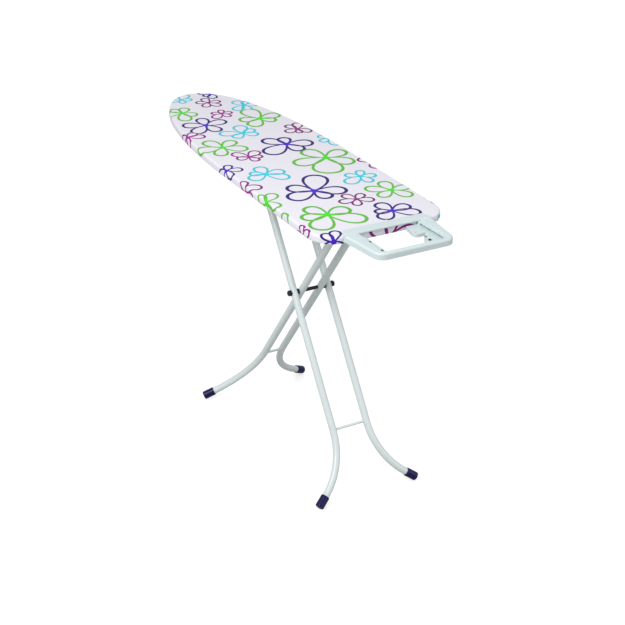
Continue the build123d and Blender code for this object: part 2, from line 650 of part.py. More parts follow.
def make_rest_fixings():
    """Spacers between the brackets and what they carry, and the screws through them."""
    spacers = [spacer(x, y, LEDGE_Z[0]) for x, y in REST_SCREWS]
    spacers += [spacer(x, y, RIM_BOTTOM) for x, y in RIM_SCREWS]
    screws = [screw(x, y, LEDGE_Z[1], BRACKET_Z[0] - 1) for x, y in REST_SCREWS]
    screws += [screw(x, y, BRACKET_Z[0], RIM_BOTTOM + RIM_T) for x, y in RIM_SCREWS]
    save("rest_spacers", Compound(spacers))
    save("rest_screws", Compound(screws))


def main():
    os.makedirs("parts", exist_ok=True)
    make_cover()
    make_pad()
    make_top_panel()
    make_rim()
    make_braces()
    make_guide_rails()
    make_rack()
    make_rivets()
    make_hinge()
    make_leg("outer_leg", 1, OUTER_Y, OUTER_BEND_FROM, OUTER_BEND_DEG, SLIDE_X,
             BAR_R + RUNNING, PIN_R + RUNNING, OUTER_WIRE_Z)
    make_leg("inner_leg", -1, INNER_Y, INNER_BEND_FROM, INNER_BEND_DEG, HINGE_X,
             PIN_R + RUNNING, PIN_R, INNER_WIRE_Z)
    make_pivot()
    make_carriage()
    make_lever()
    make_lever_spring()
    make_iron_rest()
    make_rest_brackets()
    make_rest_fixings()


main()
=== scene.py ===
import json
import math

import bpy
import numpy as np
from bpy.props import FloatProperty, FloatVectorProperty, IntProperty, PointerProperty
from mathutils import Matrix, Vector
from mathutils.geometry import interpolate_bezier


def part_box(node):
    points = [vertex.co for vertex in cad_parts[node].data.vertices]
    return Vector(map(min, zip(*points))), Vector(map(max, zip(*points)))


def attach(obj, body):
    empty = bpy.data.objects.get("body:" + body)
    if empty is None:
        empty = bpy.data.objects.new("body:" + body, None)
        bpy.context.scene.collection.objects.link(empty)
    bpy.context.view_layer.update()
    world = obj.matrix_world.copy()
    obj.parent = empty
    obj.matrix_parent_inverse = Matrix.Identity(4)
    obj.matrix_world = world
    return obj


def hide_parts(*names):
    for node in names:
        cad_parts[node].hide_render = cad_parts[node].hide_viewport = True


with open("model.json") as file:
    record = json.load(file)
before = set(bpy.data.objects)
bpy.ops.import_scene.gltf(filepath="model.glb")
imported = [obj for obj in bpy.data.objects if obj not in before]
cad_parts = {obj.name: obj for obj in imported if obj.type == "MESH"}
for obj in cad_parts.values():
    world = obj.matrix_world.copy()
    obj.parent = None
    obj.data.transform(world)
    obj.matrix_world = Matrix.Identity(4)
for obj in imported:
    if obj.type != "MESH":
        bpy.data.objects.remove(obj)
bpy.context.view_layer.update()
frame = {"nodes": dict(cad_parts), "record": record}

bl_info = {
    "name": "Folding Ironing Board",
    "version": (1, 0, 0),
    "blender": (4, 5, 0),
    "location": "3D View > Sidebar > Ironing Board",
    "description": "Printed cover, pad, mesh top, finishes and studio for a folding ironing board",
    "category": "Add Mesh",
}

# ---- places taken from the frame, in metres ----
COVER_LOW, COVER_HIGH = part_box("cover")
PAD_LOW, PAD_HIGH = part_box("foam_pad")
TOP_LOW, TOP_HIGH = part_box("top_panel")
REST_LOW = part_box("iron_rest")[0]
AXLE_LOW, AXLE_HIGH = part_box("pivot_axle")

# ---- the board's plan ----
MM = 0.001
CORNER_RADIUS = 75 * MM
NOSE_START = 0.0
NOSE_PULL_X = -420 * MM
NOSE_PULL_Y = 130 * MM
SPINE = (-560 * MM, 400 * MM)   # ends of the line that the inner rings shrink to
TUCK_BACK = 1.0 * MM            # the cover sinks this far before the rest's strap
DENT_DEPTH = 0.5 * MM
DENT_RAMP = 3 * MM              # length over which the cover sinks
TOP_WANDER = 0.12 * MM          # unevenness of the cover's flat top
# How far each ring of the hem lies in from the edge and up from the bottom, in millimetres.
HEM_RINGS = ((0.5, 0.9), (1.5, 0.35), (3.2, 0.2), (5.0, 0.3), (6.6, 0.75), (7.2, 1.3))
HEM_STEP = 1.4 * MM             # cloth between two rings of the hem
PAD_LUMPS = 0.1 * MM            # unevenness of the pad

# ---- the printed flowers ----
# Each motif has five petals: turn in degrees, share of the flower's size, half width over length.
MOTIFS = {
    "wide": ((148, 1.0, .30), (67, .77, .29), (12, .54, .34), (-76, .79, .31), (-135, .67, .31)),
    "clover": ((45, 1.0, .28), (101, .68, .34), (-156, .68, .32), (-98, .68, .29), (-43, .95, .31)),
    "daisy": ((54, .94, .28), (103, .77, .31), (-172, .75, .33), (-107, .58, .30), (-57, .80, .33)),
    "star": ((-125, 1.0, .27), (171, .88, .30), (93, .80, .29), (24, .91, .29), (-62, .83, .29)),
    "sprig": ((-64, 1.0, .29), (-129, .64, .31), (150, .62, .29), (75, .66, .29), (7, .74, .29)),
    "fan": ((-26, 1.0, .36), (-88, .88, .26), (38, .72, .30), (110, .68, .30), (-160, .72, .30)),
}
TINTS = {
    "purple": ((.026, .004, .185), (.062, .008, .600)),
    "green": ((.120, .480, .040), (.060, .720, .012)),
    "cyan": ((.035, .560, .680), (.012, .640, .780)),
    "magenta": ((.250, .008, .210), (.380, .008, .330)),
    "plum": ((.170, .014, .145), (.290, .022, .240)),
}
# Motif, tint, place on the flat cloth in millimetres, turn in degrees, size in millimetres.
FLOWERS = (
    ("wide", "purple", 239, -50, 0, 119),
    ("clover", "green", 405, -104, 0, 110),
    ("daisy", "purple", 462, 71, 0, 83),
    ("star", "green", 334, 151, 0, 75),
    ("sprig", "cyan", 203, 127, 0, 70),
    ("daisy", "cyan", 63, -114, -14, 78),
    ("star", "plum", 346, 26, 34, 54),
    ("fan", "green", 28, 112, 0, 124),
    ("daisy", "green", 245, -212, 74, 66),
    ("sprig", "magenta", 120, -228, 128, 62),
    ("star", "purple", -14, -203, 52, 52),
    ("daisy", "magenta", 118, 226, -80, 60),
    ("daisy", "purple", 553, -170, 92, 56),
    ("wide", "magenta", 581, 2, -60, 92),
    ("clover", "green", 362, -262, 60, 62),
    ("star", "magenta", 452, -232, 20, 42),
    ("sprig", "cyan", 560, -238, 140, 52),
    ("star", "purple", 452, 247, 200, 56),
    ("daisy", "cyan", 556, 222, 200, 46),
    ("clover", "magenta", -82, -92, 170, 58),
    ("wide", "purple", -128, 62, 150, 104),
    ("sprig", "cyan", -112, 206, 60, 62),
    ("star", "green", -190, -128, 30, 84),
    ("daisy", "plum", -232, 158, 95, 60),
    ("clover", "cyan", -276, -14, 205, 72),
    ("daisy", "magenta", -318, -186, 20, 58),
    ("wide", "green", -372, 98, 32, 98),
    ("star", "purple", -392, -86, 75, 82),
    ("sprig", "magenta", -470, 10, 10, 52),
    ("daisy", "cyan", -512, 112, 250, 62),
    ("clover", "green", -530, -104, 300, 74),
    ("star", "plum", -586, 18, 150, 50),
    ("daisy", "purple", -664, 66, 40, 58),
    ("sprig", "cyan", -652, -52, 200, 56),
)
PETALS = 5
PETAL_PEAK = 1.5 * math.sqrt(3)   # scales t * sqrt(1 - t) to a peak of one
INK_EDGE = 0.35 * MM              # softness of a printed line's edge
LINE_SIZES = (50, 110)            # flower sizes in millimetres that get the thin and the wide line


# ---- settings ----
def length(label, what, default):
    """A length setting in metres."""
    return FloatProperty(name=label, description=what, default=default, min=0, unit="LENGTH", precision=4)


def colour(label, what, default):
    """A colour setting."""
    return FloatVectorProperty(name=label, description=what, default=default, min=0, max=1, subtype="COLOR")


class CoverSettings(bpy.types.PropertyGroup):
    """Sizes and colours of the printed cover and the pad under it."""

    thickness: length("Cloth thickness", "Thickness of the woven cover", 0.6 * MM)
    edge: length("Edge radius", "Radius of the cover over the pad's edge", 6.5 * MM)
    gather: length("Gather depth", "How far the gathers stand out at the hem", 1.1 * MM)
    gathers: IntProperty(name="Gathers", description="Gathers round the hem", default=152, min=1)
    around: IntProperty(name="Points around", description="Points round the edge", default=760, min=60)
    thin_line: length("Thin line", "Half width of the line round a small flower", 3.1 * MM)
    wide_line: length("Wide line", "Half width of the line round a big flower", 4.6 * MM)
    thread: length("Thread pitch", "Distance between threads of the weave", 0.5 * MM)
    ground: colour("Ground", "Colour of the cloth between the flowers", (.800, .785, .860))
    reverse: colour("Reverse", "Colour of the cloth's unprinted side", (.740, .730, .740))
    pad: colour("Pad", "Colour of the felt pad", (.560, .540, .480))


class MeshTopSettings(bpy.types.PropertyGroup):
    """Sizes of the expanded-metal top."""

    cell_length: length("Cell length", "Length of a diamond along the board", 26 * MM)
    cell_width: length("Cell width", "Width of a diamond across the board", 11 * MM)
    strand: length("Strand", "Width of the metal between two cells", 1.9 * MM)


class FinishSettings(bpy.types.PropertyGroup):
    """Colours of the metal and plastic pieces."""

    tube: colour("Tube coating", "Powder coat of the legs", (.690, .765, .765))
    panel: colour("Panel paint", "Paint of the board's steel", (.620, .650, .670))
    rest: colour("Rest plastic", "Moulded plastic of the iron rest", (.640, .740, .755))
    bracket: colour("Bracket paint", "Paint of the rest's brackets", (.600, .660, .650))
    caps: colour("Foot caps", "Moulded plastic of the foot caps", (.004, .002, .070))
    dark: colour("Pivot caps", "Moulded plastic of the pivot's caps", (.008, .008, .020))
    natural: colour("Slides", "Undyed plastic of the slides and washers", (.620, .620, .560))
    zinc: colour("Zinc", "Plated steel", (.560, .570, .590))
    black: colour("Screws", "Blackened steel of the rest's screws", (.012, .012, .018))


class StudioSettings(bpy.types.PropertyGroup):
    """Floor, lamps and camera."""

    floor: colour("Floor", "Colour of the floor", (.500, .500, .500))
    glow: FloatProperty(name="Floor glow", description="White seen in the floor", default=0.66, min=0)
    sky: FloatProperty(name="Sky", description="Strength of the white surroundings", default=0.54, min=0)
    key: FloatProperty(name="Key lamp", description="Power of the main lamp in watts", default=95, min=0)
    fill: FloatProperty(name="Fill lamp", description="Power of the fill lamp in watts", default=20, min=0)
    azimuth: FloatProperty(name="Azimuth", description="Camera's turn from the board's length",
                           default=math.radians(30.55), subtype="ANGLE")
    elevation: FloatProperty(name="Elevation", description="Camera's height above the horizon",
                             default=math.radians(27.33), subtype="ANGLE")
    roll: FloatProperty(name="Roll", description="Camera's turn about its own line",
                        default=math.radians(1.38), subtype="ANGLE")
    distance: FloatProperty(name="Distance", description="From the camera to its target",
                            default=4.29, min=0.1, unit="LENGTH")
    lens: FloatProperty(name="Lens", description="Focal length in millimetres", default=81.15, min=1)


# ---- modelling helpers ----
def deselect():
    """Leaves object mode with nothing selected."""
    if bpy.context.object and bpy.context.object.mode != "OBJECT":
        bpy.ops.object.mode_set(mode="OBJECT")
    bpy.ops.object.select_all(action="DESELECT")


def named(name):
    """The object that an operator has just added, under its own name."""
    piece = bpy.context.object
    piece.name = name
    piece.data.name = name
    return piece


def edit(*steps):
    """Runs edit-mode steps on the active piece and goes back to object mode."""
    bpy.ops.object.mode_set(mode="EDIT")
    for step in steps:
        step()
    bpy.ops.object.mode_set(mode="OBJECT")


def select_all():
    bpy.ops.mesh.select_all(action="SELECT")


def select_faces(piece, wanted):
    """Selects only the faces that wanted(face) picks."""
    edit(lambda: bpy.ops.mesh.select_mode(type="FACE"), lambda: bpy.ops.mesh.select_all(action="DESELECT"))
    for face in piece.data.polygons:
        face.select = wanted(face)


def merge_doubles(distance=0.05 * MM):
    bpy.ops.mesh.remove_doubles(threshold=distance)


def face_outwards():
    bpy.ops.mesh.normals_make_consistent(inside=False)


def apply_modifier(piece, kind, **settings):
    """Adds a modifier, sets it and applies it."""
    bpy.context.view_layer.objects.active = piece
    modifier = piece.modifiers.new(kind.title(), kind)
    for key, value in settings.items():
        setattr(modifier, key, value)
    bpy.ops.object.modifier_apply(modifier=modifier.name)


def shade(piece, angle=40):
    """Smooth shading with sharp edges above an angle in degrees."""
    deselect()
    piece.select_set(True)
    bpy.context.view_layer.objects.active = piece
    bpy.ops.object.shade_smooth_by_angle(angle=math.radians(angle))


class BoardEdge:
    """Evenly spaced points round the board, from the middle of its square end."""

    def __init__(self, count):
        self.count = count
        half = self.even_points(self.half_outline(), count // 2)
        self.points = half + [Vector((p.x, -p.y)) for p in half[-2:0:-1]]
        self.normals = []
        self.curving = []
        for i in range(count):
            before, after = self.points[i - 1], self.points[(i + 1) % count]
            along = (after - before).normalized()
            self.normals.append(Vector((along.y, -along.x)))
        for i in range(count):
            turn = self.normals[(i + 1) % count].angle(self.normals[i - 1])
            run = (self.points[(i + 1) % count] - self.points[i - 1]).length
            self.curving.append(turn / run)

    @staticmethod
    def half_outline():
        """One side of the plan: half the square end, a corner, the straight side and the nose."""
        rear, half = COVER_HIGH.x, COVER_HIGH.y
        points = [Vector((rear, 0))]
        for step in range(17):
            angle = math.radians(90 * step / 16)
            around = Vector((math.cos(angle), math.sin(angle))) * CORNER_RADIUS
            points.append(Vector((rear - CORNER_RADIUS, half - CORNER_RADIUS)) + around)
        knots = ((NOSE_START, half), (NOSE_PULL_X, half), (COVER_LOW.x, NOSE_PULL_Y), (COVER_LOW.x, 0))
        nose = interpolate_bezier(*[Vector((x, y, 0)) for x, y in knots], 160)
        return points + [p.to_2d() for p in nose]

    @staticmethod
    def even_points(path, spans):
        """The path divided into equal spans."""
        runs = [0.0]
        for a, b in zip(path, path[1:]):
            runs.append(runs[-1] + (b - a).length)
        wanted = [runs[-1] * i / spans for i in range(spans + 1)]
        xs = np.interp(wanted, runs, [p.x for p in path])
        ys = np.interp(wanted, runs, [p.y for p in path])
        return [Vector((float(x), float(y))) for x, y in zip(xs, ys)]

    def inset(self, i, depth):
        """Point i moved in from the edge."""
        return self.points[i] - self.normals[i] * depth

    def inner(self, i, depth, share):
        """Point i on a ring between the spine, at share 0, and the edge's inset, at share 1."""
        edge = self.inset(i, depth)
        spine = Vector((min(max(edge.x, SPINE[0]), SPINE[1]), 0))
        return spine.lerp(edge, share)


class Rings:
    """A piece drawn as rings round the board, each extruded from the one before."""

    def __init__(self, name, edge, place):
        deselect()
        bpy.ops.mesh.primitive_circle_add(vertices=edge.count, radius=edge.points[0].x)
        self.piece = named(name)
        self.piece.data.attributes.new("along", "INT", "POINT")
        self.piece.data.attributes.new("cloth", "FLOAT_VECTOR", "POINT")
        edit(lambda: bpy.ops.mesh.select_mode(type="VERT"), select_all)
        order = self.piece.data.attributes["along"].data
        for vertex in self.piece.data.vertices:
            order[vertex.index].value = vertex.index
        self.put(place)

    def put(self, place):
        """Moves the selected ring to where place(i) says: its point, and its point on the flat cloth."""
        mesh = self.piece.data
        along = mesh.attributes["along"].data
        cloth = mesh.attributes["cloth"].data
        for vertex in mesh.vertices:
            if vertex.select:
                point, flat = place(along[vertex.index].value)
                vertex.co = point
                cloth[vertex.index].vector = (flat.x, flat.y, 0)

    def add(self, place):
        """Extrudes the ring and puts the new one in its place."""
        edit(bpy.ops.mesh.extrude_edges_move)
        self.put(place)

    def close(self):
        """Merges the rings' ends and turns the faces outwards."""
        edit(select_all, merge_doubles, face_outwards)
        return self.piece


# ---- cover ----
def dent(x):
    """How far the rest's strap presses the cover down at this place along the board."""
    share = (x - (REST_LOW.x - TUCK_BACK)) / DENT_RAMP
    share = min(max(share, 0), 1)
    return DENT_DEPTH * share * share * (3 - 2 * share)


def top_place(edge, settings, share):
    """A ring of the flat top."""
    def place(i):
        flat = edge.inner(i, settings.edge, share)
        wander = TOP_WANDER * math.sin(flat.x * 61 + 2 * math.sin(flat.y * 37)) * math.sin(flat.y * 53 + 1)
        return Vector((flat.x, flat.y, COVER_HIGH.z - TOP_WANDER + wander - dent(flat.x))), flat
    return place


def gather_wave(edge, settings, i):
    """In or out, from -1 to 1, of the gathered hem at point i. Gathers crowd and thin out in turn."""
    turn = 2 * math.pi * i / edge.count
    phase = settings.gathers * turn + 1.9 * math.sin(5 * turn + 0.6) + 1.1 * math.sin(17 * turn + 2.1)
    swell = 0.72 + 0.28 * math.sin(23 * turn + 0.9) * math.sin(9 * turn)
    return math.sin(phase) * swell


def skirt_place(edge, settings, depth, drop, reach, loose):
    """A ring of the skirt: depth in from the edge, drop below the top, reach along the cloth."""
    def place(i):
        curved = min(edge.curving[i] * 0.09, 1)
        wave = gather_wave(edge, settings, i) * settings.gather * loose * (0.28 + 0.72 * curved)
        point = edge.inset(i, depth - wave)
        flat = edge.inset(i, settings.edge - reach)
        z = COVER_HIGH.z - drop - 0.3 * wave * loose
        if drop < settings.edge:
            z -= dent(point.x) * (1 - drop / settings.edge)
        return Vector((point.x, point.y, z)), flat
    return place


def skirt_rings(settings):
    """Depth, drop, reach and looseness of each ring below the flat top."""
    rings = []
    for step in range(1, 6):
        angle = math.radians(90 * step / 5)
        depth = settings.edge * (1 - math.sin(angle))
        rings.append((depth, settings.edge * (1 - math.cos(angle)), settings.edge * angle, 0.04 * step))
    reach = rings[-1][2]
    bottom = COVER_HIGH.z - COVER_LOW.z
    for share in (0.25, 0.5, 0.75, 1.0):
        drop = settings.edge + share * (bottom - 2.2 * MM - settings.edge)
        bulge = -0.25 * MM * math.sin(math.pi * share)
        rings.append((bulge, drop, reach + drop - settings.edge, 0.2 + 0.8 * share))
    reach = rings[-1][2]
    for depth, lift in HEM_RINGS:
        reach += HEM_STEP
        rings.append((depth * MM, bottom - lift * MM, reach, 1.0 if depth < 3 else 0.6))
    return rings


def make_cover(settings):
    """The printed cover: one cloth drawn over the board, gathered at its hem."""
    edge = BoardEdge(settings.around)
    shares = [step / 20 for step in range(21)]
    rings = Rings("printed_cover", edge, top_place(edge, settings, shares[0]))
    for share in shares[1:]:
        rings.add(top_place(edge, settings, share))
    for ring in skirt_rings(settings):
        rings.add(skirt_place(edge, settings, *ring))
    cover = rings.close()
    area = sum(face.area for face in cover.data.polygons)
    print_flowers(cover, settings)
    cover.data.materials.append(cloth_material(settings))
    cover.data.materials.append(reverse_material(settings))
    apply_modifier(cover, "SOLIDIFY", thickness=settings.thickness, offset=-1, material_offset=1)
    shade(cover, 60)
    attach(cover, "board")
    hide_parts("cover")
    return cover, area


def petals_of(flower):
    """Tip and fatness of each petal of a flower, in metres."""
    motif, _, _, _, turn, size = flower
    petals = []
    for angle, share, fatness in MOTIFS[motif]:
        around = math.radians(angle + turn)
        reach = share * size * MM
        petals.append((reach * math.cos(around), reach * math.sin(around), fatness))
    return petals


def clearance(places, flower):
    """Distance of each place on the cloth from a flower's petals, less than zero inside them."""
    local = places - np.array(flower[2:4]) * MM
    nearest = np.full(len(places), 9.0)
    for x, y, fatness in petals_of(flower):
        tip = np.array((x, y))
        reach = np.hypot(x, y)
        share = np.clip(local @ tip / reach ** 2, 0, 1)
        half = fatness * reach * PETAL_PEAK * share * np.sqrt(1 - share)
        nearest = np.minimum(nearest, np.linalg.norm(local - share[:, None] * tip, axis=1) - half)
    return nearest


def print_flowers(cover, settings):
    """Gives every face the flower that it is nearest to, for the cloth's material to draw."""
    mesh = cover.data
    flat = np.zeros(len(mesh.vertices) * 3)
    mesh.attributes["cloth"].data.foreach_get("vector", flat)
    flat = flat.reshape(-1, 3)[:, :2]
    places = np.array([flat[list(face.vertices)].mean(0) for face in mesh.polygons])
    chosen = np.argmin([clearance(places, flower) for flower in FLOWERS], axis=0)
    line_widths = (settings.thin_line, settings.wide_line)
    lines = [np.interp(flower[5], LINE_SIZES, line_widths) for flower in FLOWERS]
    values = {"flower": [(f[2] * MM, f[3] * MM, line) for f, line in zip(FLOWERS, lines)]}
    for petal in range(PETALS):
        values[f"petal_{petal + 1}"] = [petals_of(flower)[petal] for flower in FLOWERS]
    for name, rows in values.items():
        attribute = mesh.attributes.new(name, "FLOAT_VECTOR", "FACE")
        attribute.data.foreach_set("vector", np.array(rows)[chosen].ravel())
    for name, part in (("tint", 0), ("heart", 1)):
        rows = np.array([TINTS[flower[1]][part] + (1,) for flower in FLOWERS])
        attribute = mesh.attributes.new(name, "FLOAT_COLOR", "FACE")
        attribute.data.foreach_set("color", rows[chosen].ravel())


# ---- pad and mesh top ----
def make_pad():
    """The felt pad under the cover, closed and rounded at its edge."""
    edge = BoardEdge(300)
    inset = COVER_HIGH.y - PAD_HIGH.y
    radius = (PAD_HIGH.z - PAD_LOW.z) / 2
    middle = (PAD_HIGH.z + PAD_LOW.z) / 2

    def flat_ring(share, z):
        def place(i):
            flat = edge.inner(i, inset + radius, share)
            lumps = PAD_LUMPS * math.sin(flat.x * 97) * math.sin(flat.y * 83)
            return Vector((flat.x, flat.y, z + lumps * (1 if z < middle else -1))), flat
        return place

    def round_ring(angle):
        def place(i):
            flat = edge.inset(i, inset + radius * (1 - math.cos(angle)))
            return Vector((flat.x, flat.y, middle + radius * math.sin(angle))), flat
        return place

    rings = Rings("felt_pad", edge, flat_ring(0, PAD_HIGH.z - PAD_LUMPS))
    for share in (0.25, 0.5, 0.75, 0.9):
        rings.add(flat_ring(share, PAD_HIGH.z - PAD_LUMPS))
    for step in range(7):
        rings.add(round_ring(math.radians(90 - 30 * step)))
    for share in (0.9, 0.75, 0.5, 0.25, 0):
        rings.add(flat_ring(share, PAD_LOW.z + PAD_LUMPS))
    pad = rings.close()
    shade(pad, 60)
    pad.data.materials.append(felt_material(bpy.context.scene.ironing_cover))
    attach(pad, "board")
    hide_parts("foam_pad")
    return pad


def inside_board(edge_points, point):
    """Whether a point is inside a closed outline."""
    inside = False
    for a, b in zip(edge_points, edge_points[1:] + edge_points[:1]):
        if (a.y > point.y) != (b.y > point.y):
            if point.x < a.x + (point.y - a.y) * (b.x - a.x) / (b.y - a.y):
                inside = not inside
    return inside


def make_mesh_top(settings):
    """The expanded-metal top: diamonds cut from a turned grid, given their strands."""
    deselect()
    long_way = (TOP_HIGH.x - TOP_LOW.x) / settings.cell_length
    wide_way = (TOP_HIGH.y - TOP_LOW.y) / settings.cell_width
    cells = math.ceil(long_way + wide_way) + 2
    bpy.ops.mesh.primitive_grid_add(x_subdivisions=cells, y_subdivisions=cells, size=cells / math.sqrt(2))
    top = named("mesh_top")
    turn = Matrix.Rotation(math.radians(45), 4, "Z")
    scale = Matrix.Diagonal((settings.cell_length, settings.cell_width, 1, 1))
    middle = Vector(((TOP_HIGH.x + TOP_LOW.x) / 2, 0, (TOP_HIGH.z + TOP_LOW.z) / 2))
    top.data.transform(Matrix.Translation(middle) @ scale @ turn)
    edge = BoardEdge(120)
    inset = COVER_HIGH.y - TOP_HIGH.y + 1 * MM
    outline = [edge.inset(i, inset) for i in range(edge.count)]

    def outside(face):
        corners = [top.data.vertices[v].co.to_2d() for v in face.vertices]
        return not all(inside_board(outline, corner) for corner in corners)

    select_faces(top, outside)
    edit(lambda: bpy.ops.mesh.delete(type="FACE"))
    apply_modifier(top, "WIREFRAME", thickness=settings.strand, offset=0, use_boundary=True)
    half = (TOP_HIGH.z - TOP_LOW.z) / 2
    tallest = max(abs(v.co.z - middle.z) for v in top.data.vertices)
    for vertex in top.data.vertices:
        vertex.co.z = middle.z + (vertex.co.z - middle.z) * half / tallest
    edit(select_all, face_outwards)
    shade(top, 30)
    top.data.materials.append(bpy.data.materials["panel_finish"])
    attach(top, "board")
    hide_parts("top_panel")


# ---- node helpers ----
class Wiring:
    """Adds nodes to a tree and links them. A value is a socket, a number or a vector."""

    def __init__(self, tree):
        self.tree = tree

    def node(self, kind, values=(), **settings):
        made = self.tree.nodes.new(kind)
        for key, value in settings.items():
            setattr(made, key, value)
        for socket, value in dict(values).items():
            self.feed(value, made.inputs[socket])
        return made

    def feed(self, value, socket):
        if isinstance(value, bpy.types.NodeSocket):
            self.tree.links.new(value, socket)
        else:
            socket.default_value = value

    def math(self, operation, *values, clamp=False):
        made = self.node("ShaderNodeMath", dict(enumerate(values)), operation=operation)
        made.use_clamp = clamp
        return made.outputs[0]

    def vector(self, operation, *values):
        made = self.node("ShaderNodeVectorMath", dict(enumerate(values)), operation=operation)
        return made.outputs["Value"] if operation in ("DOT_PRODUCT", "LENGTH") else made.outputs[0]

    def smooth(self, value, low, high, out_low=0.0, out_high=1.0):
        """Maps a value smoothly from one span to another."""
        values = {"Value": value, "From Min": low, "From Max": high, "To Min": out_low, "To Max": out_high}
        return self.node("ShaderNodeMapRange", values, interpolation_type="SMOOTHSTEP").outputs["Result"]

    def noise(self, place, scale, detail=2.0):
        """Noise over a place, with its pattern this many times a metre."""
        values = {"Vector": place, "Scale": scale, "Detail": detail}
        return self.node("ShaderNodeTexNoise", values).outputs["Fac"]

    def mix(self, share, first, second, blend="MIX"):
        """Mixes two colours."""
        made = self.node("ShaderNodeMix", data_type="RGBA", blend_type=blend)
        self.feed(share, made.inputs["Factor"])
        self.feed(first, made.inputs[6])
        self.feed(second, made.inputs[7])
        return made.outputs[2]

    def bump(self, height, depth, strength=1.0):
        values = {"Height": height, "Distance": depth, "Strength": strength}
        return self.node("ShaderNodeBump", values).outputs["Normal"]

    def place(self):
        """Where the point is on the piece."""
        return self.node("ShaderNodeTexCoord").outputs["Object"]

    def attribute(self, name, output="Vector"):
        return self.node("ShaderNodeAttribute", attribute_name=name).outputs[output]

    def group(self, name, **values):
        made = self.tree.nodes.new("ShaderNodeGroup")
        made.node_tree = bpy.data.node_groups[name]
        for label, value in values.items():
            self.feed(value, made.inputs[label.replace("_", " ")])
        return made.outputs


def new_group(name, inputs, outputs):
    """An empty node group with its sockets: returns its wiring, inputs and a function that sets outputs."""
    tree = bpy.data.node_groups.new(name, "ShaderNodeTree")
    for label, kind in inputs:
        tree.interface.new_socket(label, in_out="INPUT", socket_type=f"NodeSocket{kind}")
    for label in outputs:
        tree.interface.new_socket(label, in_out="OUTPUT", socket_type="NodeSocketFloat")
    wires = Wiring(tree)
    entry = tree.nodes.new("NodeGroupInput").outputs
    leave = tree.nodes.new("NodeGroupOutput").inputs

    def put_out(label, value):
        wires.feed(value, leave[label])
    return wires, entry, put_out


GRAIN_SOCKETS = (("Place", "Vector"), ("Grain", "Float"))


def petal_group():
    """Line round one petal: pointed at the flower's centre, round and thicker at its tip."""
    sockets = (("Place", "Vector"), ("Petal", "Vector"), ("Line", "Float"))
    wires, entry, put_out = new_group("petal line", sockets, ("Mask",))
    tip = wires.vector("MULTIPLY", entry["Petal"], (1, 1, 0))
    fatness = wires.node("ShaderNodeSeparateXYZ", {0: entry["Petal"]}).outputs["Z"]
    reach2 = wires.vector("DOT_PRODUCT", tip, tip)
    along = wires.math("DIVIDE", wires.vector("DOT_PRODUCT", entry["Place"], tip), reach2)
    away2 = wires.math("DIVIDE", wires.vector("DOT_PRODUCT", entry["Place"], entry["Place"]), reach2)
    along2 = wires.math("MULTIPLY", along, along)
    side2 = wires.math("MAXIMUM", wires.math("SUBTRACT", away2, along2), 0.0)
    peak = wires.math("MULTIPLY", fatness, PETAL_PEAK)
    peak2 = wires.math("MULTIPLY", peak, peak)
    left = wires.math("SUBTRACT", 1.0, along)
    loop2 = wires.math("MULTIPLY", wires.math("MULTIPLY", peak2, along2), left)
    outline = wires.math("SUBTRACT", side2, loop2)
    slope = wires.math("MULTIPLY", wires.math("MULTIPLY_ADD", along, -3.0, 2.0), along)
    slope = wires.math("MULTIPLY", slope, peak2)
    steep = wires.math("MULTIPLY_ADD", slope, slope, wires.math("MULTIPLY", side2, 4.0))
    steep = wires.math("MAXIMUM", wires.math("SQRT", steep), 0.0001)
    off = wires.math("DIVIDE", wires.math("ABSOLUTE", outline), steep)
    off = wires.math("MULTIPLY", off, wires.math("SQRT", reach2))
    wide = wires.math("MULTIPLY", entry["Line"], wires.smooth(along, 0.2, 1.0, 0.80, 1.12))
    inner = wires.math("SUBTRACT", wide, INK_EDGE)
    outer = wires.math("ADD", wide, INK_EDGE)
    mask = wires.smooth(off, inner, outer, 1.0, 0.0)
    put_out("Mask", wires.math("MULTIPLY", mask, wires.math("GREATER_THAN", along, 0.0)))


def flower_group():
    """Five petal lines and a filled heart: where the print covers, and how near it is to the heart."""
    sockets = [("Place", "Vector"), ("Flower", "Vector")]
    sockets += [(f"Petal {n + 1}", "Vector") for n in range(PETALS)]
    wires, entry, put_out = new_group("printed flower", sockets, ("Mask", "Heart"))
    place = wires.vector("MULTIPLY", wires.vector("SUBTRACT", entry["Place"], entry["Flower"]), (1, 1, 0))
    line = wires.node("ShaderNodeSeparateXYZ", {0: entry["Flower"]}).outputs["Z"]
    away = wires.vector("LENGTH", place)
    full = wires.math("MULTIPLY", line, 2.5)
    mask = wires.smooth(away, full, wires.math("ADD", full, 1.2 * MM), 1.0, 0.0)
    for n in range(PETALS):
        petal = wires.group("petal line", Place=place, Petal=entry[f"Petal {n + 1}"], Line=line)
        mask = wires.math("MAXIMUM", mask, petal["Mask"])
    put_out("Mask", mask)
    bright, faded = wires.math("MULTIPLY", line, 2.0), wires.math("MULTIPLY", line, 6.5)
    put_out("Heart", wires.smooth(away, bright, faded, 1.0, 0.0))


